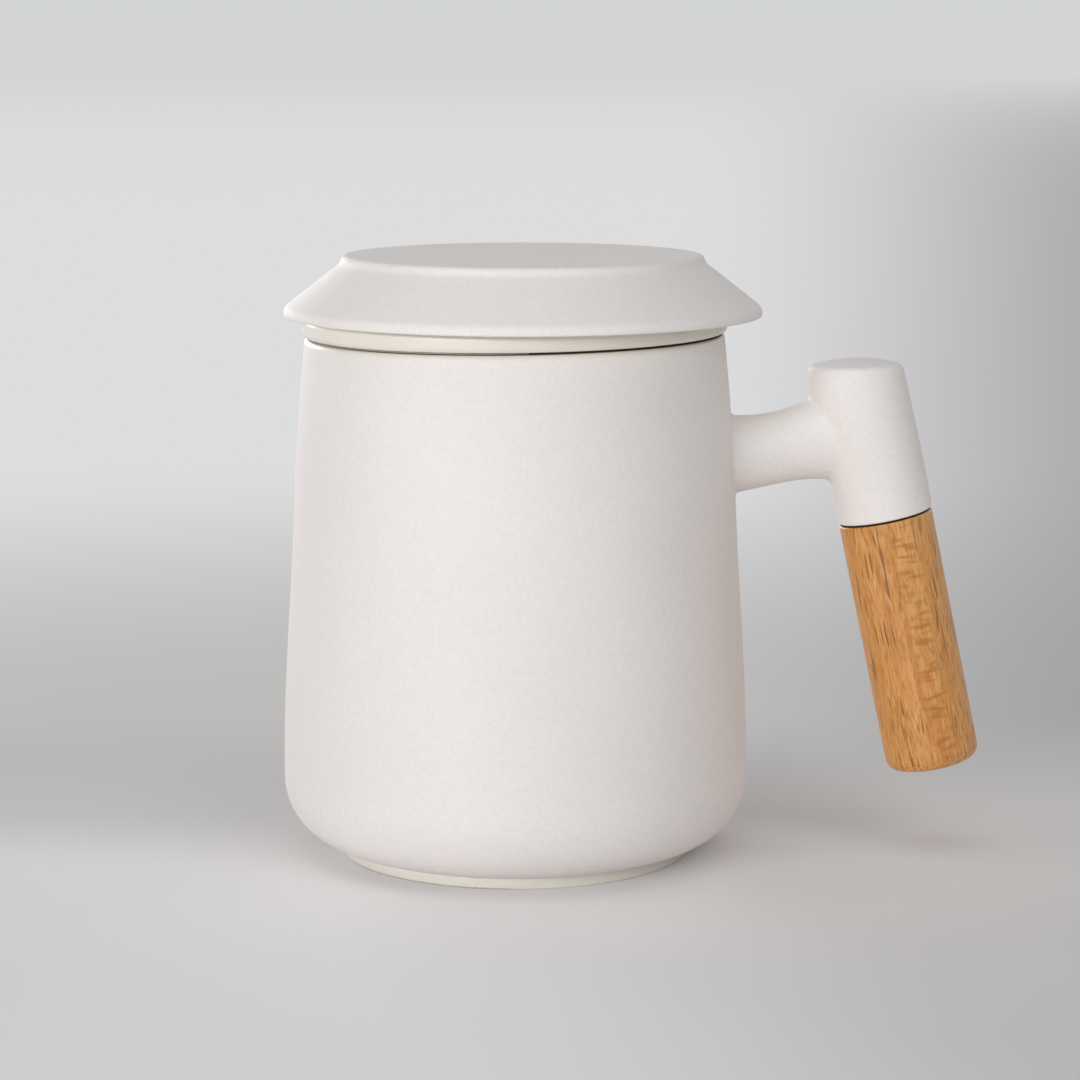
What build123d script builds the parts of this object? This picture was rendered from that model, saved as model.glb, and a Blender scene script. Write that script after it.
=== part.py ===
from build123d import *
import os
from math import cos, radians, sin, tan

# Lidded tea mug with a lift-out infuser and a beech grip. Sizes are in millimetres.
# The mug's axis is Z, its foot ring stands on Z = 0, and the handle points along +X.

# Vessel, outside
foot_radius = 34.7  # outer edge of the foot ring
foot_ring_width = 4.2
foot_height = 2.1  # side of the foot ring that shows under the body
underside_rise = 3.7  # how far the underside climbs from the foot ring to the belly
belly_radius = 46.2  # widest part, just above the base rounding
belly_height = 18.0  # where the wall starts to lean inwards
waist_radius = 44.15
waist_height = 61.4
shoulder_radius = 42.95
shoulder_height = 84.0
rim_radius = 41.25
rim_height = 103.4  # at the mug's axis
rim_lean = 5.6  # degrees that the wall leans inwards at the rim
rim_tilt = 0.7  # degrees that the hand-trimmed rim climbs towards the handle
rim_spare = 2.0  # wall above the rim that the trimming takes off
base_round = 13.2
rim_round = 0.9
foot_round = 0.35

# Vessel, inside
mug_wall = 4.0
floor_height = 7.6  # inside floor above the table
floor_round = 8.5
recess_height = 2.8  # underside of the floor inside the foot ring
recess_round = 1.0

# Infuser: a flange that rests on the rim, and a basket that hangs in the mug
flange_radius = 41.7
flange_thickness = 3.9  # at the mug's axis, from the tilted rim to the level top
flange_round = 0.9
flange_top_round = 1.3
seat_radius = 39.6  # the flange touches the rim only inside this
seat_relief = 0.3  # gap between rim and flange outside the seat
basket_clearance = 1.3  # between the basket's mouth and the inside of the rim
basket_wall = 2.8
basket_depth = 62.0  # from the rim to the underside of the basket
basket_taper = 1.6  # how much less the basket's radius is at its foot
basket_floor = 3.2
basket_round = 5.0
drain_radius = 1.15
drain_spacing = 5.4  # between rings of holes in the floor, and between rows in the wall
drain_rings = 4
drain_rows = 4
drains_per_row = 24
drill_overrun = 3.0  # how far a drain's drill passes both sides of the wall

# Lid
brim_radius = 47.0
brim_edge = 1.55  # height of the brim's upright side before its corners are rounded
brim_round = 0.35  # lower corner
brim_shoulder_round = 2.0  # upper corner
lid_slope = 38.0  # degrees below level
lid_height = 11.8  # from the flange to the top
lid_step = 1.4  # height of the short steep edge around the top
lid_edge_overhang = 0.2  # how far the top's edge stands out over the foot of that step
lid_step_round = 1.1
lid_blend_round = 2.2
lid_skin = 4.4
lid_ceiling_round = 4.4
lid_play = 2.0  # between the locating ring and the basket's mouth, all round
lid_shift = 1.6  # how far off centre the loose lid lies, towards the handle
spigot_wall = 3.0
spigot_depth = 4.5
spigot_round = 0.8

# Handle: the post and the grip share one leaning axis
lean = 11.85  # degrees from upright, the lower end outwards
joint_x = 73.42
joint_z = 67.5  # middle of the joint between post and grip
grip_radius = 9.3
grip_length = 50.9
grip_end_round = 2.5
grip_top_round = 0.4
post_top_height = joint_z + 31.15  # highest point of the crowned top
post_top_radius = 8.88
post_top_shift = 0.2  # how far the top's middle stands towards the handle's outside
post_crown_radius = 32.0
post_crown_shift = 1.1  # from the post's middle to the crown's highest point
post_shoulder_height = joint_z + 23.0
post_shoulder_radius = 9.72
post_swell = 0.42  # how far the shoulder stands towards the mug
post_middle_height = joint_z + 8.5
post_middle_radius = 9.53
post_middle_shift = 0.05
post_foot_radius = 9.4
post_top_round = 1.5
post_end_round = 0.4
arm_tilt = 7.6  # degrees that the arm climbs towards the post
arm_above_joint = 17.25  # from the joint to the arm's axis, along the post
arm_root_half_height = 8.8  # inside the vessel's wall
arm_root_half_width = 8.6
arm_waist_reach = 19.0  # from the post's axis to the arm's thinnest section
arm_waist_half_height = 7.1
arm_waist_half_width = 6.9
arm_waist_sag = 1.05  # how far the section hangs below the arm's straight axis
arm_neck_reach = 12.0
arm_neck_half_height = 7.7
arm_neck_half_width = 7.0
arm_neck_sag = 0.45
arm_flare_reach = 5.0  # inside the post
arm_flare_half_height = 10.0
arm_flare_half_width = 7.4
arm_blend = 1.6  # rounding where the arm runs into the post
arm_root_round = 0.9  # slip worked into the corner where the arm is luted to the wall

# Hardware inside the handle
washer_thickness = 0.4
washer_inset = 0.35  # how far the washer stops short of the wood
stud_radius = 2.5
stud_chamfer = 0.6
stud_clearance = 0.2
stud_in_wood = 32.0
pilot_spare = 2.0  # depth of the pilot hole below the stud
insert_radius = 4.0
post_insert_length = 15.0
grip_insert_length = 14.0
cement_thickness = 0.7

# Frames of the handle
lean_out = Vector(cos(radians(lean)), 0, sin(radians(lean)))
lean_up = Vector(-sin(radians(lean)), 0, cos(radians(lean)))
joint_centre = Vector(joint_x, 0, joint_z)
arm_centre = joint_centre + lean_up * arm_above_joint
arm_out = Vector(cos(radians(arm_tilt)), 0, sin(radians(arm_tilt)))
arm_up = Vector(-sin(radians(arm_tilt)), 0, cos(radians(arm_tilt)))
joint_plane = Plane(origin=joint_centre, x_dir=lean_out, z_dir=lean_up)
grip_plane = joint_plane.offset(-washer_thickness)

# The trimmed rim, and all that stands above it
rim_normal = Vector(-sin(radians(rim_tilt)), 0, cos(radians(rim_tilt)))
rim_plane = Plane(origin=(0, 0, rim_height), z_dir=rim_normal)

# Levels and radii that several pieces share
wall_top = rim_height + rim_spare
wall_top_radius = rim_radius - rim_spare * tan(radians(rim_lean))
flange_top = rim_height + flange_thickness
rim_inner_radius = rim_radius - mug_wall
basket_radius = rim_inner_radius - basket_clearance
basket_inner_radius = basket_radius - basket_wall
lid_top = flange_top + lid_height
basket_foot = rim_height - basket_depth

# The lid's skirt, from the brim's upright side up the slope to the foot of the step
skirt_level = flange_top + brim_edge
step_level = lid_top - lid_step
step_radius = brim_radius - (step_level - skirt_level) / tan(radians(lid_slope))
lid_top_radius = step_radius + lid_edge_overhang

level_tolerance = 0.01  # within which an edge lies at a height or has a radius
upward = (Align.CENTER, Align.CENTER, Align.MIN)  # a cylinder that stands on its plane
downward = (Align.CENTER, Align.CENTER, Align.MAX)  # a cylinder that hangs from its plane
beyond = 2 * belly_radius  # a trimming block this wide and high reaches past every piece


def in_profile(*edges):
    """A closed outline in the XZ plane, turned about Z, with its seam away from the handle."""
    return Rot(0, 0, 180) * revolve(make_face(list(edges)), Axis.Z)


def wall_line(inset):
    """The leaning wall from the belly to above the rim, moved inwards by inset."""
    return Spline(
        (belly_radius - inset, 0, belly_height),
        (waist_radius - inset, 0, waist_height),
        (shoulder_radius - inset, 0, shoulder_height),
        (wall_top_radius - inset, 0, wall_top),
        tangents=[(0, 0, 1), (-tan(radians(rim_lean)), 0, 1)],
    )


def rings(solid, height, widest, narrowest=0):
    """The solid's circular edges at one height, with radii from narrowest to widest."""
    level = solid.edges().filter_by(GeomType.CIRCLE)
    level = level.filter_by_position(Axis.Z, height - level_tolerance, height + level_tolerance)
    low = narrowest - level_tolerance
    high = widest + level_tolerance
    return ShapeList([edge for edge in level if low < edge.radius < high])


def vessel_outside():
    """The space inside the vessel's outer surface, with no hollow."""
    return in_profile(
        Polyline(
            (wall_top_radius, 0, wall_top),
            (0, 0, wall_top),
            (0, 0, 0),
            (foot_radius, 0, 0),
            (foot_radius, 0, foot_height),
            (belly_radius, 0, foot_height + underside_rise),
            (belly_radius, 0, belly_height),
        ),
        wall_line(0),
    )


def vessel_hollow():
    """The inside of the vessel, open at the rim."""
    hollow = in_profile(
        Polyline(
            (wall_top_radius - mug_wall, 0, wall_top),
            (0, 0, wall_top),
            (0, 0, floor_height),
            (belly_radius - mug_wall, 0, floor_height),
            (belly_radius - mug_wall, 0, belly_height),
        ),
        wall_line(mug_wall),
    )
    return fillet(rings(hollow, floor_height, belly_radius), floor_round)


def mug_body():
    """Slip-cast vessel: rounded base on a foot ring, wall leaning in to a rounded rim."""
    body = vessel_outside()
    recess = Cylinder(foot_radius - foot_ring_width, recess_height, align=upward)
    recess = fillet(rings(recess, recess_height, foot_radius), recess_round)
    above_rim = rim_plane * Cylinder(beyond, beyond, align=upward)
    body = body - recess - vessel_hollow() - above_rim
    body = fillet(rings(body, foot_height + underside_rise, belly_radius), base_round)
    body = fillet(rings(body, 0, foot_radius), foot_round)
    return fillet(body.faces().filter_by(rim_plane).edges(), rim_round)


def post():
    """Tapered post: round at the joint, fuller at the shoulder, with a crowned top."""

    def middle_at(height):
        return joint_x - (height - joint_z) * tan(radians(lean))

    def level_section(height, radius, shift):
        across = radius / cos(radians(lean))
        return Pos(middle_at(height) + shift, 0, height) * Ellipse(across, radius)

    solid = loft(
        [
            joint_plane * Circle(post_foot_radius),
            level_section(post_middle_height, post_middle_radius, post_middle_shift),
            level_section(post_shoulder_height, post_shoulder_radius, -post_swell),
            level_section(post_top_height, post_top_radius, post_top_shift),
        ]
    )
    crown_x = middle_at(post_top_height) + post_crown_shift
    crown_z = post_top_height - post_crown_radius
    solid = solid & Pos(crown_x, 0, crown_z) * Sphere(post_crown_radius)
    solid = fillet(solid.faces().sort_by(Axis.Z)[-1].edges(), post_top_round)
    return fillet(solid.faces().sort_by(Axis.Z)[0].edges(), post_end_round)


def arm():
    """Waisted arm from inside the vessel's wall to the post's axis."""
    root_reach = (arm_centre.X - rim_inner_radius) / cos(radians(arm_tilt))

    def section(reach, half_height, half_width, sag=0):
        middle = arm_centre - arm_out * reach - arm_up * sag
        return Plane(origin=middle, x_dir=(0, 1, 0), z_dir=arm_out) * Ellipse(half_width, half_height)

    return loft(
        [
            section(root_reach, arm_root_half_height, arm_root_half_width),
            section(arm_waist_reach, arm_waist_half_height, arm_waist_half_width, arm_waist_sag),
            section(arm_neck_reach, arm_neck_half_height, arm_neck_half_width, arm_neck_sag),
            section(arm_flare_reach, arm_flare_half_height, arm_flare_half_width),
        ]
    )


def handle_bracket():
    """Arm and post cast in one piece and luted to the vessel's wall, with a socket below."""
    upright = post()
    limb = arm()
    whole = upright + limb
    whole = fillet(new_edges(upright, limb, combined=whole), arm_blend)
    vessel = vessel_outside()
    luted = whole + vessel
    luted = fillet(new_edges(whole, vessel, combined=luted), arm_root_round)
    socket_radius = insert_radius + cement_thickness
    socket_depth = post_insert_length + cement_thickness
    return luted - vessel - joint_plane * Cylinder(socket_radius, socket_depth, align=upward)


def infuser():
    """Ceramic basket with a flange that rests on the rim and small drain holes."""
    cup = basket_cone(basket_radius, basket_foot)
    cup = fillet(rings(cup, basket_foot, basket_radius), basket_round)
    hollow = basket_cone(basket_inner_radius, basket_foot + basket_floor)
    corner = rings(hollow, basket_foot + basket_floor, basket_inner_radius)
    hollow = fillet(corner, basket_round - basket_wall)
    whole = cup + flange() - hollow
    return whole - floor_drains() - wall_drains()


def basket_cone(top_radius, foot_level):
    """The basket's outside or inside, from foot_level to the flange's top."""
    return in_profile(
        Polyline(
            (0, 0, flange_top),
            (top_radius, 0, flange_top),
            (top_radius - basket_taper, 0, foot_level),
            (0, 0, foot_level),
            (0, 0, flange_top),
        )
    )


def flange():
    """Disc with a level top, whose tilted underside clears the rim outside a narrow seat."""
    top = Pos(0, 0, flange_top)
    below_rim = rim_plane * Cylinder(beyond, beyond, align=downward)
    below_relief = rim_plane.offset(seat_relief) * Cylinder(beyond, beyond, align=downward)
    disc = top * Cylinder(flange_radius, beyond, align=downward) - below_relief
    disc = fillet(disc.faces().filter_by(rim_plane).edges(), flange_round)
    disc = fillet(rings(disc, flange_top, flange_radius), flange_top_round)
    return disc + (top * Cylinder(seat_radius, beyond, align=downward) - below_rim)


def floor_drains():
    """Holes through the basket's floor: one in the middle, then rings of 6, 12, 18..."""
    middle = Pos(0, 0, basket_foot + basket_floor / 2)
    hole = middle * Cylinder(drain_radius, basket_floor + 2 * drill_overrun)
    drains = [hole]
    for ring in range(1, drain_rings + 1):
        drains += [place * hole for place in PolarLocations(ring * drain_spacing, 6 * ring)]
    return drains


def wall_drains():
    """Rows of holes through the basket's wall, every other row turned by half a step."""
    drains = []
    hole = Rot(0, 90, 0) * Cylinder(drain_radius, basket_wall + 2 * drill_overrun)
    middle_of_wall = (basket_radius + basket_inner_radius) / 2
    half_step = 180 / drains_per_row
    for row in range(drain_rows):
        height = basket_foot + basket_floor + basket_round + row * drain_spacing
        raised = Pos(0, 0, height) * Rot(0, 0, half_step * (row % 2))
        drains += [raised * place * hole for place in PolarLocations(middle_of_wall, drains_per_row)]
    return drains


def lid():
    """Lid with a flat top, a conical skirt, an overhanging brim and a locating ring."""
    spigot_radius = basket_inner_radius - lid_play
    spigot_inner = spigot_radius - spigot_wall
    spigot_foot = flange_top - spigot_depth
    ceiling = lid_top - lid_skin
    shell = in_profile(
        Polyline(
            (brim_radius, 0, flange_top),
            (spigot_radius, 0, flange_top),
            (spigot_radius, 0, spigot_foot),
            (spigot_inner, 0, spigot_foot),
            (spigot_inner, 0, ceiling),
            (0, 0, ceiling),
            (0, 0, lid_top),
            (lid_top_radius, 0, lid_top),
            (step_radius, 0, step_level),
            (brim_radius, 0, skirt_level),
            (brim_radius, 0, flange_top),
        )
    )
    shell = fillet(rings(shell, skirt_level, brim_radius, brim_radius), brim_shoulder_round)
    shell = fillet(rings(shell, flange_top, brim_radius, brim_radius), brim_round)
    shell = fillet(rings(shell, lid_top, brim_radius), lid_step_round)
    shell = fillet(rings(shell, step_level, brim_radius), lid_blend_round)
    shell = fillet(rings(shell, ceiling, brim_radius), lid_ceiling_round)
    shell = fillet(rings(shell, spigot_foot, brim_radius), spigot_round)
    return Pos(lid_shift, 0, 0) * shell


def bush(plane, outer_radius, inner_radius, length):
    """A straight sleeve that stands on plane, on its +Z side."""
    outside = Cylinder(outer_radius, length, align=upward)
    return plane * (outside - Cylinder(inner_radius, length, align=upward))


def insert_cement():
    """Epoxy cup that holds the brass bush in the post's socket."""
    socket_radius = insert_radius + cement_thickness
    socket_depth = post_insert_length + cement_thickness
    filled = Cylinder(socket_radius, socket_depth, align=upward)
    return joint_plane * (filled - Cylinder(insert_radius, post_insert_length, align=upward))


def wood_grip():
    """Turned beech cylinder with a rounded lower end and a stepped hole down its axis."""
    grip = Cylinder(grip_radius, grip_length, align=downward)
    grip = fillet(rings(grip, -grip_length, grip_radius), grip_end_round)
    grip = fillet(rings(grip, 0, grip_radius), grip_top_round)
    pilot_radius = stud_radius + stud_clearance
    grip -= Cylinder(insert_radius, grip_insert_length, align=downward)
    grip -= Cylinder(pilot_radius, stud_in_wood + pilot_spare, align=downward)
    return grip_plane * grip


def grip_washer():
    """Thin seal between post and wood, a little smaller than both."""
    outer_radius = grip_radius - washer_inset
    return bush(grip_plane, outer_radius, stud_radius + stud_clearance, washer_thickness)


def grip_stud():
    """Threaded stud that draws the grip up to the post."""
    length = stud_in_wood + washer_thickness + post_insert_length
    stud = Cylinder(stud_radius, length, align=upward)
    stud = chamfer(stud.edges().filter_by(GeomType.CIRCLE), stud_chamfer)
    return grip_plane.offset(-stud_in_wood) * stud


def post_insert():
    """Threaded brass bush in the post's socket."""
    return bush(joint_plane, insert_radius, stud_radius, post_insert_length)


def grip_insert():
    """Threaded brass bush pressed into the wood."""
    foot_plane = grip_plane.offset(-grip_insert_length)
    return bush(foot_plane, insert_radius, stud_radius, grip_insert_length)


parts = {
    "mug_body": mug_body(),
    "handle_bracket": handle_bracket(),
    "infuser": infuser(),
    "lid": lid(),
    "wood_grip": wood_grip(),
    "grip_washer": grip_washer(),
    "grip_stud": grip_stud(),
    "post_insert": post_insert(),
    "insert_cement": insert_cement(),
    "grip_insert": grip_insert(),
}

os.makedirs("parts", exist_ok=True)
for name, solid in parts.items():
    export_step(solid, f"parts/{name}.step")
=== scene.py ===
from math import cos, radians, sin

import bmesh
import bpy
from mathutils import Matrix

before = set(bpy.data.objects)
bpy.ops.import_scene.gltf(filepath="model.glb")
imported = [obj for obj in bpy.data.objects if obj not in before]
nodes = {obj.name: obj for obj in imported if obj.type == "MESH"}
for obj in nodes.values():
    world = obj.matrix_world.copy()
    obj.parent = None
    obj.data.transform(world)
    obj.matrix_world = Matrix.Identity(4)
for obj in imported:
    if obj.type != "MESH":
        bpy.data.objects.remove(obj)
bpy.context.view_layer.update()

# Mug body. One slip-cast stoneware vessel, which stands on its foot ring and carries the rest.
# Its glaze is matte white outside, and gloss inside, over the rim and on the foot ring. Part of
# the rim's flat is wiped bare, mostly towards the handle, and that bare clay is drawn dark brown
# as painted shade for the slit under the infuser's flange.
MM = 0.001
body_white = "#EFEAE7"
body_shade = "#E2DCD7"
gloss_white = "#EAE6DD"
gloss_shade = "#E4DED4"
# bare clay, drawn this dark brown as painted shade for the slit between rim and flange
bare_clay_shade = "#6B5445"
matte_grain = 0.8 * MM  # finer on the real glaze, and drawn this coarse so that it shows
matte_pebble = 2.2 * MM  # the soft lumps under the grain
matte_drift = 28 * MM  # from thicker to thinner glaze
gloss_ripple = 3.5 * MM
gloss_drift = 22 * MM
glaze_relief = 0.14 * MM
glaze_ior = 1.5
clay_rough = 0.9
rim_turn = radians(0.7)  # the hand-trimmed rim climbs towards the handle
rim_gloss_from = 102.3 * MM
foot_gloss_below = 2.3 * MM
glaze_edge = 0.4 * MM  # width over which one glaze runs into the other
inward_below = -2 * MM  # radius times the outward part of the normal, on the inner walls
upward_above = 0.7  # upward part of the normal, on the floor inside and on the rim
seat_level = 103.3 * MM  # the rim's flat lies above this, in the rim's own tilt
# Clay is bare past this radius, and drawn dark there as painted shade for the slit under the
# flange. It is measured in the rim's own tilt, whose axis is 1.3 mm off the mug's up here, so
# the bare ring is widest at the handle and runs out opposite it.
bare_shade_from = 39.7 * MM


def colour(code):
    """An sRGB hex code as linear RGBA."""
    channels = [int(code[i : i + 2], 16) / 255 for i in (1, 3, 5)]
    linear = [c / 12.92 if c <= 0.04045 else ((c + 0.055) / 1.055) ** 2.4 for c in channels]
    return (*linear, 1.0)


def node(tree, kind, sockets=(), **settings):
    """Adds a node. Settings are its own properties; each socket gets a value or an output."""
    made = tree.nodes.new(kind)
    for name, value in settings.items():
        setattr(made, name, value)
    for name, value in dict(sockets).items():
        if isinstance(value, bpy.types.NodeSocket):
            tree.links.new(value, made.inputs[name])
        else:
            made.inputs[name].default_value = value
    return made


def blank_material(name):
    """A new material with an empty node tree."""
    material = bpy.data.materials.new(name)
    material.use_nodes = True
    material.node_tree.nodes.clear()
    return material, material.node_tree


def finish_of(cad_node, material):
    """The CAD node keeps its shape and takes this material."""
    mesh = nodes[cad_node].data
    mesh.materials.clear()
    mesh.materials.append(material)


def matte_glaze(tree, place):
    """Matte zirconium glaze: silky white, with a fine sandy grain and a slow drift in
    thickness. Returns its colour, roughness and height."""
    grain = node(tree, "ShaderNodeTexNoise", {
        "Vector": place, "Scale": 1 / matte_grain, "Detail": 3.0, "Roughness": 0.6})
    pebble = node(tree, "ShaderNodeTexNoise", {
        "Vector": place, "Scale": 1 / matte_pebble, "Detail": 2.0, "Roughness": 0.5})
    drift = node(tree, "ShaderNodeTexNoise", {
        "Vector": place, "Scale": 1 / matte_drift, "Detail": 2.0, "Roughness": 0.5})
    height = node(tree, "ShaderNodeMath", {
        0: pebble.outputs["Fac"], 1: 0.7, 2: grain.outputs["Fac"]}, operation="MULTIPLY_ADD")
    pits = node(tree, "ShaderNodeMapRange", {
        "Value": grain.outputs["Fac"], "From Min": 0.62, "From Max": 0.35,
        "To Min": 0.0, "To Max": 0.35})
    cloud = node(tree, "ShaderNodeMapRange", {
        "Value": drift.outputs["Fac"], "From Min": 0.35, "From Max": 0.7,
        "To Min": 0.0, "To Max": 0.2})
    shade = node(tree, "ShaderNodeMath", {
        0: pits.outputs["Result"], 1: cloud.outputs["Result"]}, operation="ADD")
    tone = node(tree, "ShaderNodeMix", {
        "Factor": shade.outputs[0], "A": colour(body_white), "B": colour(body_shade)},
        data_type="RGBA")
    rough = node(tree, "ShaderNodeMapRange", {
        "Value": grain.outputs["Fac"], "From Min": 0.3, "From Max": 0.7,
        "To Min": 0.52, "To Max": 0.7})
    return tone.outputs["Result"], rough.outputs["Result"], height.outputs[0]


def gloss_glaze(tree, place):
    """Gloss feldspar glaze: a slightly creamier white, wet and smooth, with the faint
    orange-peel ripple of a melt. Returns its colour, roughness and height."""
    ripple = node(tree, "ShaderNodeTexNoise", {
        "Vector": place, "Scale": 1 / gloss_ripple, "Detail": 1.0, "Roughness": 0.4})
    drift = node(tree, "ShaderNodeTexNoise", {
        "Vector": place, "Scale": 1 / gloss_drift, "Detail": 2.0, "Roughness": 0.5})
    tone = node(tree, "ShaderNodeMix", {
        "Factor": drift.outputs["Fac"], "A": colour(gloss_white), "B": colour(gloss_shade)},
        data_type="RGBA")
    rough = node(tree, "ShaderNodeMapRange", {
        "Value": drift.outputs["Fac"], "From Min": 0.15, "From Max": 0.85,
        "To Min": 0.26, "To Max": 0.36}, interpolation_type="SMOOTHSTEP")
    return tone.outputs["Result"], rough.outputs["Result"], ripple.outputs["Fac"]


def nowhere(tree, radius, level):
    """A share of none."""
    return 0.0


def two_glazes(name, glossy, bare=nowhere, **placing):
    """Matte glaze, gloss glaze in the share that glossy(tree, radius, level) gives, and the
    bare brown clay, drawn dark as painted shade for the slit between rim and flange, in the
    share that bare(tree, radius, level) gives."""
    material, tree = blank_material(name)
    place = node(tree, "ShaderNodeTexCoord").outputs["Object"]
    centred = node(tree, "ShaderNodeMapping", {"Vector": place, **placing}).outputs["Vector"]
    flat = node(tree, "ShaderNodeVectorMath", {0: centred, 1: (1, 1, 0)}, operation="MULTIPLY")
    radius = node(tree, "ShaderNodeVectorMath", {0: flat.outputs["Vector"]}, operation="LENGTH")
    level = node(tree, "ShaderNodeSeparateXYZ", {"Vector": centred}).outputs["Z"]
    share = glossy(tree, radius.outputs["Value"], level)
    bare_shade_share = bare(tree, radius.outputs["Value"], level)
    matte, gloss = matte_glaze(tree, centred), gloss_glaze(tree, centred)
    glaze_tone = node(tree, "ShaderNodeMix", {
        "Factor": share, "A": matte[0], "B": gloss[0]}, data_type="RGBA")
    glaze_rough = node(tree, "ShaderNodeMix", {
        "Factor": share, "A": matte[1], "B": gloss[1]}, data_type="FLOAT")
    tone = node(tree, "ShaderNodeMix", {
        "Factor": bare_shade_share, "A": glaze_tone.outputs["Result"], "B": colour(bare_clay_shade)},
        data_type="RGBA")
    rough = node(tree, "ShaderNodeMix", {
        "Factor": bare_shade_share, "A": glaze_rough.outputs["Result"], "B": clay_rough},
        data_type="FLOAT")
    height = node(tree, "ShaderNodeMix", {
        "Factor": share, "A": matte[2], "B": gloss[2]}, data_type="FLOAT")
    bump = node(tree, "ShaderNodeBump", {
        "Height": height.outputs["Result"], "Strength": 0.22, "Distance": glaze_relief})
    surface = node(tree, "ShaderNodeBsdfPrincipled", {
        "Base Color": tone.outputs["Result"], "Roughness": rough.outputs["Result"],
        "Normal": bump.outputs["Normal"], "IOR": glaze_ior})
    node(tree, "ShaderNodeOutputMaterial", {"Surface": surface.outputs["BSDF"]})
    return material


def mug_gloss(tree, radius, level):
    """Wherever the surface faces the mug's axis or upwards, over the rim, and on the foot."""
    place = node(tree, "ShaderNodeTexCoord").outputs["Object"]
    normal = node(tree, "ShaderNodeNewGeometry").outputs["Normal"]
    outward = node(tree, "ShaderNodeVectorMath", {0: place, 1: (1, 1, 0)}, operation="MULTIPLY")
    facing = node(tree, "ShaderNodeVectorMath", {
        0: outward.outputs["Vector"], 1: normal}, operation="DOT_PRODUCT")
    inward = node(tree, "ShaderNodeMath", {
        0: facing.outputs["Value"], 1: inward_below}, operation="LESS_THAN")
    rise = node(tree, "ShaderNodeSeparateXYZ", {"Vector": normal}).outputs["Z"]
    upward = node(tree, "ShaderNodeMath", {
        0: rise, 1: upward_above}, operation="GREATER_THAN")
    inside = node(tree, "ShaderNodeMath", {
        0: inward.outputs[0], 1: upward.outputs[0]}, operation="MAXIMUM")
    rim = node(tree, "ShaderNodeMapRange", {
        "Value": level, "From Min": rim_gloss_from, "From Max": rim_gloss_from + glaze_edge})
    foot = node(tree, "ShaderNodeMapRange", {
        "Value": level, "From Min": foot_gloss_below, "From Max": foot_gloss_below - glaze_edge})
    ends = node(tree, "ShaderNodeMath", {
        0: rim.outputs["Result"], 1: foot.outputs["Result"]}, operation="MAXIMUM")
    return node(tree, "ShaderNodeMath", {
        0: ends.outputs[0], 1: inside.outputs[0]}, operation="MAXIMUM").outputs[0]


def rim_bare_shade(tree, radius, level):
    """The rim's flat from the bare radius outwards, wiped clean of glaze. Its dark brown is
    painted shade for the slit under the infuser's flange.
    """
    top = node(tree, "ShaderNodeMath", {0: level, 1: seat_level}, operation="GREATER_THAN")
    outer = node(tree, "ShaderNodeMath", {0: radius, 1: bare_shade_from}, operation="GREATER_THAN")
    return node(tree, "ShaderNodeMath", {
        0: top.outputs[0], 1: outer.outputs[0]}, operation="MULTIPLY").outputs[0]


finish_of("mug_body", two_glazes(
    "stoneware_mug_glaze", mug_gloss, rim_bare_shade, Rotation=(0, rim_turn, 0)))

# Handle bracket. Arm and post are cast as one piece with a socket in the post, luted to the
# leather-hard wall with slip, and dipped in the same matte glaze as the mug.
finish_of("handle_bracket", two_glazes("stoneware_bracket_glaze", nowhere))

# Post bush, its cement, and the bush in the wood. The brass bushes are turned and threaded;
# the upper one is set in the post's socket with cream-coloured epoxy.
lean = radians(11.85)
joint = (73.42 * MM, 0.0, 67.5 * MM)  # middle of the post's lower face
to_grip_middle = 25.85 * MM  # the washer and half of the grip
grip_middle = (
    joint[0] + to_grip_middle * sin(lean), 0.0, joint[2] - to_grip_middle * cos(lean))
grip_turn = (0.0, -lean, 0.0)
line_reach = 30 * MM  # turned lines run right round, so across them the noise hardly changes
rough_play = 0.06  # roughness goes up and down by this along the lines
brass_bright, brass_dull = "#D9B36A", "#B98F48"
cement_cream, cement_shade = "#CFC6B4", "#B9AE99"


def plain_finish(name, base, dark, rough, metal, line):
    """A turned or cast finish: fine lines round the grip's leaning axis, each line mm wide."""
    material, tree = blank_material(name)
    place = node(tree, "ShaderNodeTexCoord").outputs["Object"]
    along = node(tree, "ShaderNodeMapping", {
        "Vector": place, "Location": grip_middle, "Rotation": grip_turn,
        "Scale": (line_reach, line_reach, line * MM)}, vector_type="TEXTURE")
    lines = node(tree, "ShaderNodeTexNoise", {
        "Vector": along.outputs["Vector"], "Scale": 1.0, "Detail": 2.0})
    tone = node(tree, "ShaderNodeMix", {
        "Factor": lines.outputs["Fac"], "A": colour(base), "B": colour(dark)},
        data_type="RGBA")
    roughness = node(tree, "ShaderNodeMapRange", {
        "Value": lines.outputs["Fac"], "From Min": 0.3, "From Max": 0.7,
        "To Min": rough - rough_play, "To Max": rough + rough_play})
    bump = node(tree, "ShaderNodeBump", {
        "Height": lines.outputs["Fac"], "Strength": 0.2, "Distance": 0.03 * MM})
    surface = node(tree, "ShaderNodeBsdfPrincipled", {
        "Base Color": tone.outputs["Result"], "Roughness": roughness.outputs["Result"],
        "Metallic": metal, "Normal": bump.outputs["Normal"]})
    node(tree, "ShaderNodeOutputMaterial", {"Surface": surface.outputs["BSDF"]})
    return material


brass = plain_finish(
    "turned_brass", brass_bright, brass_dull, rough=0.28, metal=1.0, line=0.25)
finish_of("post_insert", brass)
finish_of("grip_insert", brass)
finish_of("insert_cement", plain_finish(
    "cast_epoxy_cement", cement_cream, cement_shade, rough=0.35, metal=0.0, line=1.5))

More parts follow.
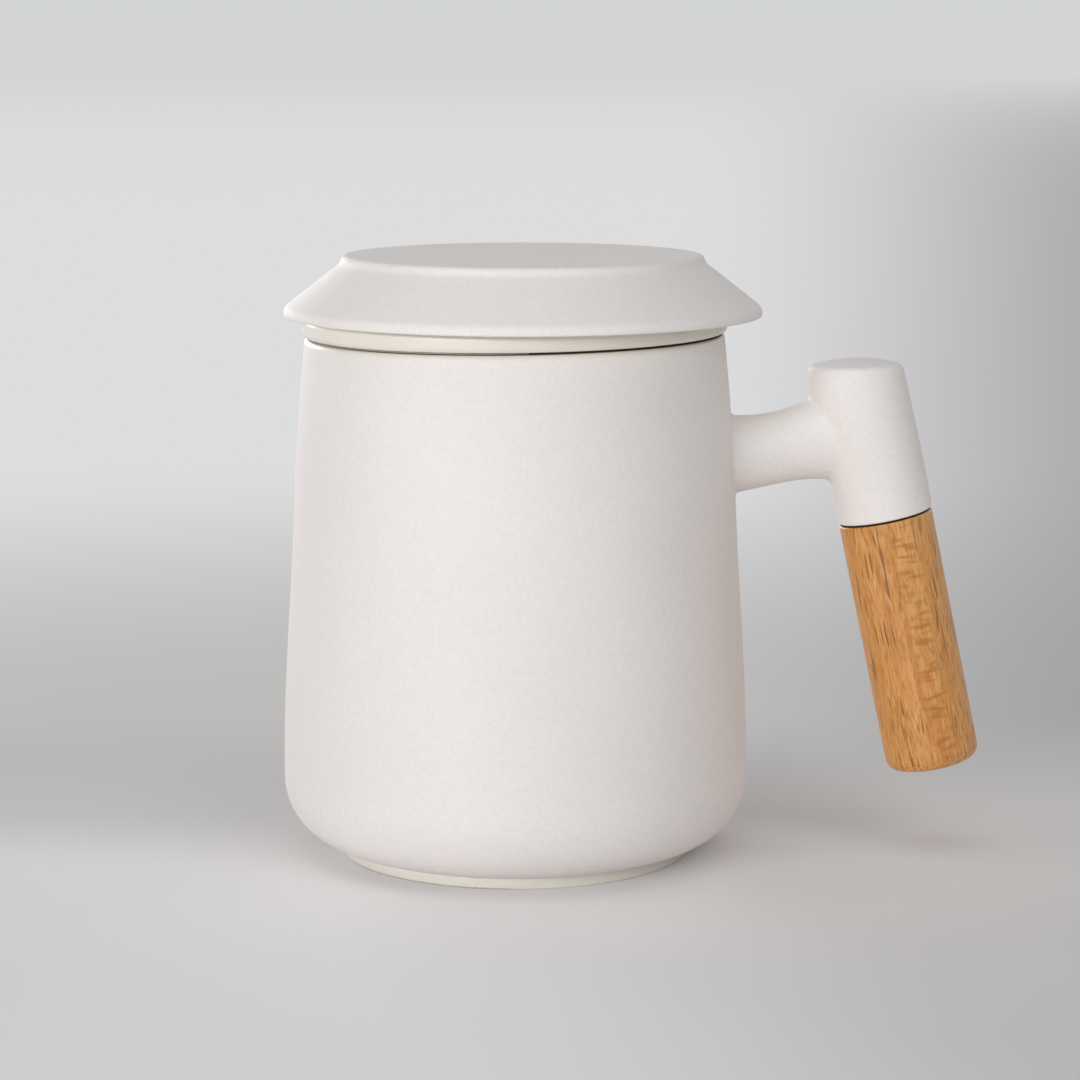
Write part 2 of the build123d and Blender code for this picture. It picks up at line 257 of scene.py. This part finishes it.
# Stud and washer. A zinc-plated M5 stud screws into both bushes, and a thin dark silicone
# washer takes up the unevenness between glazed post and wood; its edge is the dark joint line.
zinc_bright, zinc_dull = "#C4C6C8", "#9A9DA0"
silicone_brown, silicone_dark = "#150C06", "#100904"
finish_of("grip_stud", plain_finish(
    "zinc_plated_steel", zinc_bright, zinc_dull, rough=0.32, metal=1.0, line=0.4))
finish_of("grip_washer", plain_finish(
    "moulded_silicone", silicone_brown, silicone_dark, rough=0.9, metal=0.0, line=0.3))

# Wood grip. Steamed beech, turned to a cylinder, sanded and given a satin varnish. Growth
# rings and pores run down its length. The rays show end-on as dark upright spindles on both
# sides, and side-on as a ladder of brown flecks down the strip where the cut follows them.
beech_light = "#DDA260"
beech_mid = "#D1914D"
beech_ring = "#C07E3C"
beech_streak = "#E4B273"
beech_fleck = "#AA692D"
beech_spindle = "#804B1A"
ring_size = (2.6, 9, 60)  # each size is in mm across, deep and along the grip
streak_size = (0.5, 0.5, 6.0)
fleck_size = (0.4, 0.4, 2.4)
ladder_size = (4.5, 8, 1.2)
spindle_size = (0.5, 0.5, 7.0)
pore_size = (0.3, 0.3, 3.0)  # wider than real pores, so that they show
pore_depth = 0.05 * MM
strip_middle = 2.0  # mm from the grip's axis to the middle of the ladder of flecks
strip_inner = 1.2  # mm from there, where the ladder starts to fade
strip_outer = 3.4  # mm, where it has faded and the spindles are full
beech, tree = blank_material("steamed_beech_satin_varnish")
place = node(tree, "ShaderNodeTexCoord").outputs["Object"]


def in_grip(size):
    """Object coordinates in the grip's own frame, in units of size: mm across, deep, along."""
    return node(tree, "ShaderNodeMapping", {
        "Vector": place, "Location": grip_middle, "Rotation": grip_turn,
        "Scale": [side * MM for side in size]}, vector_type="TEXTURE").outputs["Vector"]


def grain_layer(under, size, tint, low, high, amount, where=1.0):
    """Lays tint over a colour where a noise stretched to size lies between low and high."""
    marks = node(tree, "ShaderNodeTexNoise", {
        "Vector": in_grip(size), "Scale": 1.0, "Detail": 1.0, "Roughness": 0.4})
    drawn = node(tree, "ShaderNodeMapRange", {
        "Value": marks.outputs["Fac"], "From Min": low, "From Max": high, "To Max": amount})
    share = node(tree, "ShaderNodeMath", {
        0: drawn.outputs["Result"], 1: where}, operation="MULTIPLY")
    return node(tree, "ShaderNodeMix", {
        "Factor": share.outputs[0], "A": under, "B": colour(tint)},
        data_type="RGBA").outputs["Result"]


across = node(tree, "ShaderNodeSeparateXYZ", {"Vector": in_grip((1, 1, 1))}).outputs["X"]
offset = node(tree, "ShaderNodeMath", {0: across, 1: -strip_middle}, operation="ADD")
distance = node(tree, "ShaderNodeMath", {0: offset.outputs[0]}, operation="ABSOLUTE")
ladder = node(tree, "ShaderNodeMapRange", {
    "Value": distance.outputs[0], "From Min": strip_outer, "From Max": strip_inner})
sides = node(tree, "ShaderNodeMapRange", {
    "Value": distance.outputs[0], "From Min": strip_inner, "From Max": strip_outer})
rings = node(tree, "ShaderNodeTexNoise", {
    "Vector": in_grip(ring_size), "Scale": 1.0, "Detail": 2.5, "Roughness": 0.55})
ring_tone = node(tree, "ShaderNodeValToRGB", {"Fac": rings.outputs["Fac"]})
stops = ring_tone.color_ramp.elements
stops[0].position, stops[0].color = 0.3, colour(beech_ring)
stops[1].position, stops[1].color = 0.7, colour(beech_light)
stops.new(0.48).color = colour(beech_mid)
wood = ring_tone.outputs["Color"]
wood = grain_layer(wood, streak_size, beech_streak, low=0.5, high=0.66, amount=0.55)
wood = grain_layer(wood, fleck_size, beech_fleck, low=0.52, high=0.66, amount=0.5)
wood = grain_layer(
    wood, ladder_size, beech_fleck, low=0.52, high=0.64, amount=0.6,
    where=ladder.outputs["Result"])
wood = grain_layer(
    wood, spindle_size, beech_spindle, low=0.6, high=0.68, amount=0.8,
    where=sides.outputs["Result"])
pores = node(tree, "ShaderNodeTexNoise", {
    "Vector": in_grip(pore_size), "Scale": 1.0, "Detail": 1.0, "Roughness": 0.5})
wood_rough = node(tree, "ShaderNodeMapRange", {
    "Value": pores.outputs["Fac"], "From Min": 0.4, "From Max": 0.7,
    "To Min": 0.4, "To Max": 0.55})
wood_bump = node(tree, "ShaderNodeBump", {
    "Height": pores.outputs["Fac"], "Strength": 0.3, "Distance": -pore_depth})
surface = node(tree, "ShaderNodeBsdfPrincipled", {
    "Base Color": wood, "Roughness": wood_rough.outputs["Result"],
    "Normal": wood_bump.outputs["Normal"], "IOR": 1.45, "Coat Weight": 0.2,
    "Coat Roughness": 0.3})
node(tree, "ShaderNodeOutputMaterial", {"Surface": surface.outputs["BSDF"]})
finish_of("wood_grip", beech)

# Infuser. A thin cast basket in gloss glaze, bare under part of its flange, where the bare
# clay's dark brown is painted shade for the slit over the rim. The flange rests on the mug's
# rim, and floor and lower wall are pierced with small round drain holes.
flange_underside = 103.8 * MM  # in the rim's own tilt


def all_gloss(tree, radius, level):
    """The basket has no matte glaze anywhere."""
    return 1.0


def flange_bare_shade(tree, radius, level):
    """The flange's underside from the bare radius outwards, which the glaze leaves bare. Its
    dark brown is painted shade for the slit over the rim.
    """
    under = node(tree, "ShaderNodeMath", {0: level, 1: flange_underside}, operation="LESS_THAN")
    outer = node(tree, "ShaderNodeMath", {0: radius, 1: bare_shade_from}, operation="GREATER_THAN")
    return node(tree, "ShaderNodeMath", {
        0: under.outputs[0], 1: outer.outputs[0]}, operation="MULTIPLY").outputs[0]


finish_of("infuser", two_glazes(
    "infuser_gloss_glaze", all_gloss, flange_bare_shade, Rotation=(0, rim_turn, 0)))

# Lid. Flat top with a small step, conical skirt and overhanging brim in matte glaze; gloss
# glaze inside its recess and on the locating ring that drops into the basket.
lid_offset = (-1.6 * MM, 0.0, 0.0)  # brings the lid's own axis, nearer the handle, to the middle
brim_underside = 107.4 * MM
recess_radius = 26 * MM
recess_top = 117 * MM


def lid_gloss(tree, radius, level):
    """Under the brim, and in the recess below the lid's flat top."""
    under = node(tree, "ShaderNodeMath", {0: level, 1: brim_underside}, operation="LESS_THAN")
    within = node(tree, "ShaderNodeMath", {0: radius, 1: recess_radius}, operation="LESS_THAN")
    below = node(tree, "ShaderNodeMath", {0: level, 1: recess_top}, operation="LESS_THAN")
    recess = node(tree, "ShaderNodeMath", {
        0: within.outputs[0], 1: below.outputs[0]}, operation="MULTIPLY")
    return node(tree, "ShaderNodeMath", {
        0: under.outputs[0], 1: recess.outputs[0]}, operation="MAXIMUM").outputs[0]


finish_of("lid", two_glazes("stoneware_lid_glaze", lid_gloss, Location=lid_offset))

# Room. A wide white paper floor. Camera rays see it with painted shade, greyer to the right and
# behind the mug, and beyond a hand's breadth it fades into a painted glow for the distance, with
# painted shade that is darkest near the mug and towards the right.
floor_white = "#F4F3F3"
# painted shade on the paper to the right and behind the mug, for camera rays only
painted_floor_shade = "#E2E1E1"
# the distance is a painted glow: painted shade near the mug and to the right, paler far off
painted_shade_near = "#BDBCBB"
painted_shade_near_side = "#A2A1A2"
far_grey = "#DDDDDE"
painted_shade_far_side = "#A9A9AC"
sky_grey = "#D3D4D6"
floor_radius = 9.0  # m, and so are the stretches below
floor_sides = 96
stand_off = 660 * MM  # the painted shade of the distance deepens to the right as seen from this far
painted_shade_to_right = (0.0, 0.1)
painted_shade_to_back = (-0.02, 0.03)
glow_to_back = (0.05, 0.14)  # behind the mug the paper gives way to the distance sooner
glow_around = (0.2, 0.45)
near_to_far = (0.15, 0.6)
far_to_sky = (2.0, 9.0)
middle_to_side = (0.04, 0.19)  # metres to the right, for each metre from the stand-off
floor_mesh = bmesh.new()
bmesh.ops.create_circle(floor_mesh, cap_ends=True, segments=floor_sides, radius=floor_radius)
floor_data = bpy.data.meshes.new("paper_floor")
floor_mesh.to_mesh(floor_data)
floor_mesh.free()
floor = bpy.data.objects.new("paper_floor", floor_data)
bpy.context.scene.collection.objects.link(floor)


def blend(tree, value, stretch, first, second):
    """A colour that goes smoothly from first to second while value passes along a stretch."""
    start, end = stretch
    share = node(tree, "ShaderNodeMapRange", {
        "Value": value, "From Min": start, "From Max": end}, interpolation_type="SMOOTHSTEP")
    return node(tree, "ShaderNodeMix", {
        "Factor": share.outputs["Result"], "A": first, "B": second},
        data_type="RGBA").outputs["Result"]


def backdrop_rays(tree):
    """One for the rays that see the backdrop as it is: straight, off gloss or through glass."""
    rays = node(tree, "ShaderNodeLightPath").outputs
    bounced = node(tree, "ShaderNodeMath", {
        0: rays["Is Glossy Ray"], 1: rays["Is Transmission Ray"]}, operation="MAXIMUM")
    return node(tree, "ShaderNodeMath", {
        0: rays["Is Camera Ray"], 1: bounced.outputs[0]}, operation="MAXIMUM").outputs[0]


paper_painted_shade_and_glow, tree = blank_material("paper_painted_shade_and_glow")
place = node(tree, "ShaderNodeTexCoord").outputs["Object"]
away = node(tree, "ShaderNodeVectorMath", {0: place}, operation="LENGTH").outputs["Value"]
spot = node(tree, "ShaderNodeSeparateXYZ", {"Vector": place}).outputs
straight = node(tree, "ShaderNodeLightPath").outputs["Is Camera Ray"]
# camera rays see the paper with painted shade to the right and behind the mug; other rays see it
# white
seen_with_painted_shade = blend(tree, spot["X"], painted_shade_to_right, colour(floor_white), colour(painted_floor_shade))
seen_with_painted_shade = blend(tree, spot["Y"], painted_shade_to_back, seen_with_painted_shade, colour(painted_floor_shade))
paper_tone = node(tree, "ShaderNodeMix", {
    "Factor": straight, "A": colour(floor_white), "B": seen_with_painted_shade}, data_type="RGBA")
paper = node(tree, "ShaderNodeBsdfDiffuse", {"Color": paper_tone.outputs["Result"]})
reach = node(tree, "ShaderNodeMath", {0: away, 1: stand_off}, operation="ADD").outputs[0]
turned = node(tree, "ShaderNodeMath", {0: spot["X"], 1: reach}, operation="DIVIDE").outputs[0]
# a painted glow for the distance, with painted shade near the mug and to the right
left_tone = blend(tree, away, near_to_far, colour(painted_shade_near), colour(far_grey))
painted_shade_right_tone = blend(tree, away, near_to_far, colour(painted_shade_near_side), colour(painted_shade_far_side))
glow_tone = blend(tree, turned, middle_to_side, left_tone, painted_shade_right_tone)
glow_tone = blend(tree, away, far_to_sky, glow_tone, colour(sky_grey))
glow = node(tree, "ShaderNodeEmission", {"Color": glow_tone, "Strength": 1.0})
beyond = node(tree, "ShaderNodeMapRange", {
    "Value": spot["Y"], "From Min": glow_to_back[0], "From Max": glow_to_back[1]},
    interpolation_type="SMOOTHSTEP")
around = node(tree, "ShaderNodeMapRange", {
    "Value": away, "From Min": glow_around[0], "From Max": glow_around[1]},
    interpolation_type="SMOOTHSTEP")
far = node(tree, "ShaderNodeMath", {
    0: beyond.outputs["Result"], 1: around.outputs["Result"]}, operation="MAXIMUM")
share = node(tree, "ShaderNodeMath", {
    0: far.outputs[0], 1: backdrop_rays(tree)}, operation="MULTIPLY")
mixed = node(tree, "ShaderNodeMixShader", {
    0: share.outputs[0], 1: paper.outputs["BSDF"], 2: glow.outputs["Emission"]})
node(tree, "ShaderNodeOutputMaterial", {"Surface": mixed.outputs["Shader"]})
floor_data.materials.append(paper_painted_shade_and_glow)

# Light. One long, low softbox to the front left, with a lower strip beneath it, gives the
# gradient from left to right and the shade under the brim. Weaker panels above, to the right
# and behind fill the other sides, and the room itself adds a little.
room_light = 0.24
room_white = "#FFFEFE"
lamp_distance = 1.3  # m from the mug's middle
mug_middle = 60 * MM
world = bpy.data.worlds.new("plain_room")
bpy.context.scene.world = world
world.use_nodes = True
tree = world.node_tree
tree.nodes.clear()
room = node(tree, "ShaderNodeBackground", {
    "Color": colour(room_white), "Strength": room_light})
behind = node(tree, "ShaderNodeBackground", {"Color": colour(sky_grey), "Strength": 1.0})
mixed = node(tree, "ShaderNodeMixShader", {
    0: backdrop_rays(tree), 1: room.outputs["Background"], 2: behind.outputs["Background"]})
node(tree, "ShaderNodeOutputWorld", {"Surface": mixed.outputs["Shader"]})


def softbox(name, azimuth, elevation, width, height, power):
    """A rectangular softbox that faces the mug's middle and doesn't show in the picture.
    Angles are in degrees from the front and from level, sizes in m and power in W."""
    light = bpy.data.lights.new(name, "AREA")
    light.shape = "RECTANGLE"
    light.size, light.size_y = width, height
    light.energy = power
    lamp = bpy.data.objects.new(name, light)
    lamp.visible_camera = False
    bpy.context.scene.collection.objects.link(lamp)
    around, up = radians(azimuth), radians(elevation)
    lamp.location = (
        lamp_distance * sin(around) * cos(up),
        -lamp_distance * cos(around) * cos(up),
        mug_middle + lamp_distance * sin(up))
    lamp.rotation_euler = (radians(90) - up, 0.0, around)


softbox("key_softbox", -29, 13.5, width=1.1, height=0.13, power=6.9)
softbox("low_strip", -30, 2.5, width=1.1, height=0.06, power=1.7)
softbox("overhead_panel", -5, 80, width=1.2, height=0.8, power=2.6)
softbox("right_panel", 35, 34, width=1.0, height=0.4, power=2.4)
softbox("left_back_panel", -150, 10, width=0.8, height=0.4, power=6.6)
softbox("right_back_panel", 135, 25, width=0.8, height=0.5, power=0.9)

# Camera. It stands in front of the mug, a little above the lid, and looks down on it through
# a long lens. Standard view keeps the colours as they are given.
sensor_width = 36.0  # mm
lens_length = 112.0  # mm
camera_place = (4.937 * MM, -stand_off, 166.08 * MM)
camera_tilt = radians(81.07)
camera_data = bpy.data.cameras.new("camera")
camera_data.sensor_width = sensor_width
camera_data.lens = lens_length
camera = bpy.data.objects.new("camera", camera_data)
bpy.context.scene.collection.objects.link(camera)
camera.location = camera_place
camera.rotation_euler = (camera_tilt, 0.0, 0.0)
bpy.context.scene.camera = camera
bpy.context.scene.view_settings.view_transform = "Standard"
